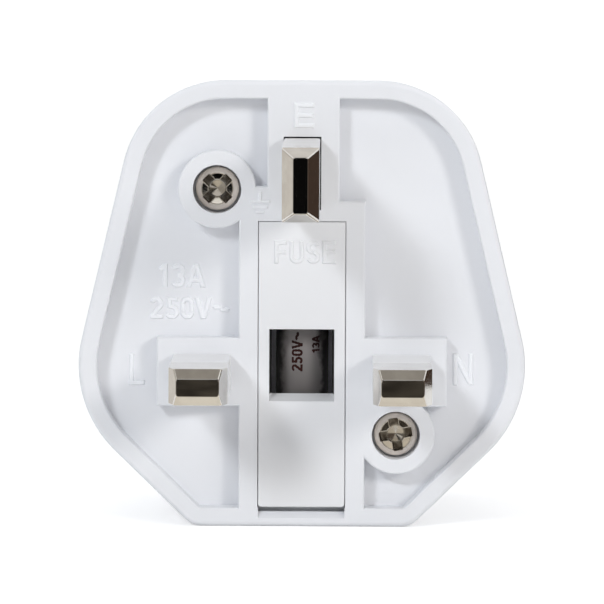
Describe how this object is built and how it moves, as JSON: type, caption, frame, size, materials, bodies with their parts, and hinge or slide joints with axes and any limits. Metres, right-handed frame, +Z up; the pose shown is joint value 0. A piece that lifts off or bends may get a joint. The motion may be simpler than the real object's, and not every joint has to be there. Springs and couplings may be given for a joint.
{
  "type": "travel adapter",
  "caption": "White fused travel adapter: British flat-pin plug face with a pull-out fuse carrier, and a shuttered socket for foreign plugs behind.",
  "frame": {"origin": "middle of the flat bottom edge, in the plane of the pin face", "axes": "+X to the right seen from the pin side, +Y from the pin face back to the socket face, +Z up"},
  "size_m": [0.05, 0.0557, 0.05],
  "materials": {
    "housing_plastic": "smooth moulded, satin gloss",
    "sleeve_plastic": "smooth moulded",
    "carrier_plastic": "smooth moulded",
    "inner_plastic": "plain moulded",
    "plated_pin": "bright nickel plate over brass",
    "plated_cap": "nickel plate over brass",
    "spring_brass": "rolled strip",
    "screw_steel": "nickel plate over steel",
    "spring_steel": "drawn wire",
    "ceramic": "unglazed ceramic"
  },
  "bodies": {
    "housing": {"pin_base": "housing_plastic", "socket_cover": "housing_plastic", "earth_pin": "plated_pin", "line_pin": "plated_pin", "neutral_pin": "plated_pin", "line_pin_sleeve": "sleeve_plastic", "neutral_pin_sleeve": "sleeve_plastic", "housing_screws": "screw_steel", "fuse_clip_lower": "spring_brass", "fuse_clip_upper": "spring_brass", "contact_block": "inner_plastic", "line_contact": "spring_brass", "neutral_contact": "spring_brass", "earth_contact": "spring_brass", "shutter_spring": "spring_steel", "shutter_retainer": "inner_plastic"},
    "fuse_drawer": {"fuse_carrier": "carrier_plastic", "fuse_tube": "ceramic", "fuse_cap_lower": "plated_cap", "fuse_cap_upper": "plated_cap"},
    "shutter_gate": {"shutter": "housing_plastic"}
  },
  "joints": [
    {"name": "fuse_carrier_slide", "type": "slide", "parent": "housing", "child": "fuse_drawer", "axis": [0, -1, 0], "range_m": [0, 0.015]},
    {"name": "shutter_slide", "type": "slide", "parent": "housing", "child": "shutter_gate", "axis": [0, 0, 1], "range_m": [0, 0.0086], "stiffness_N_per_m": 30, "springref_m": -0.004, "deforming": ["shutter_spring"]}
  ]
}
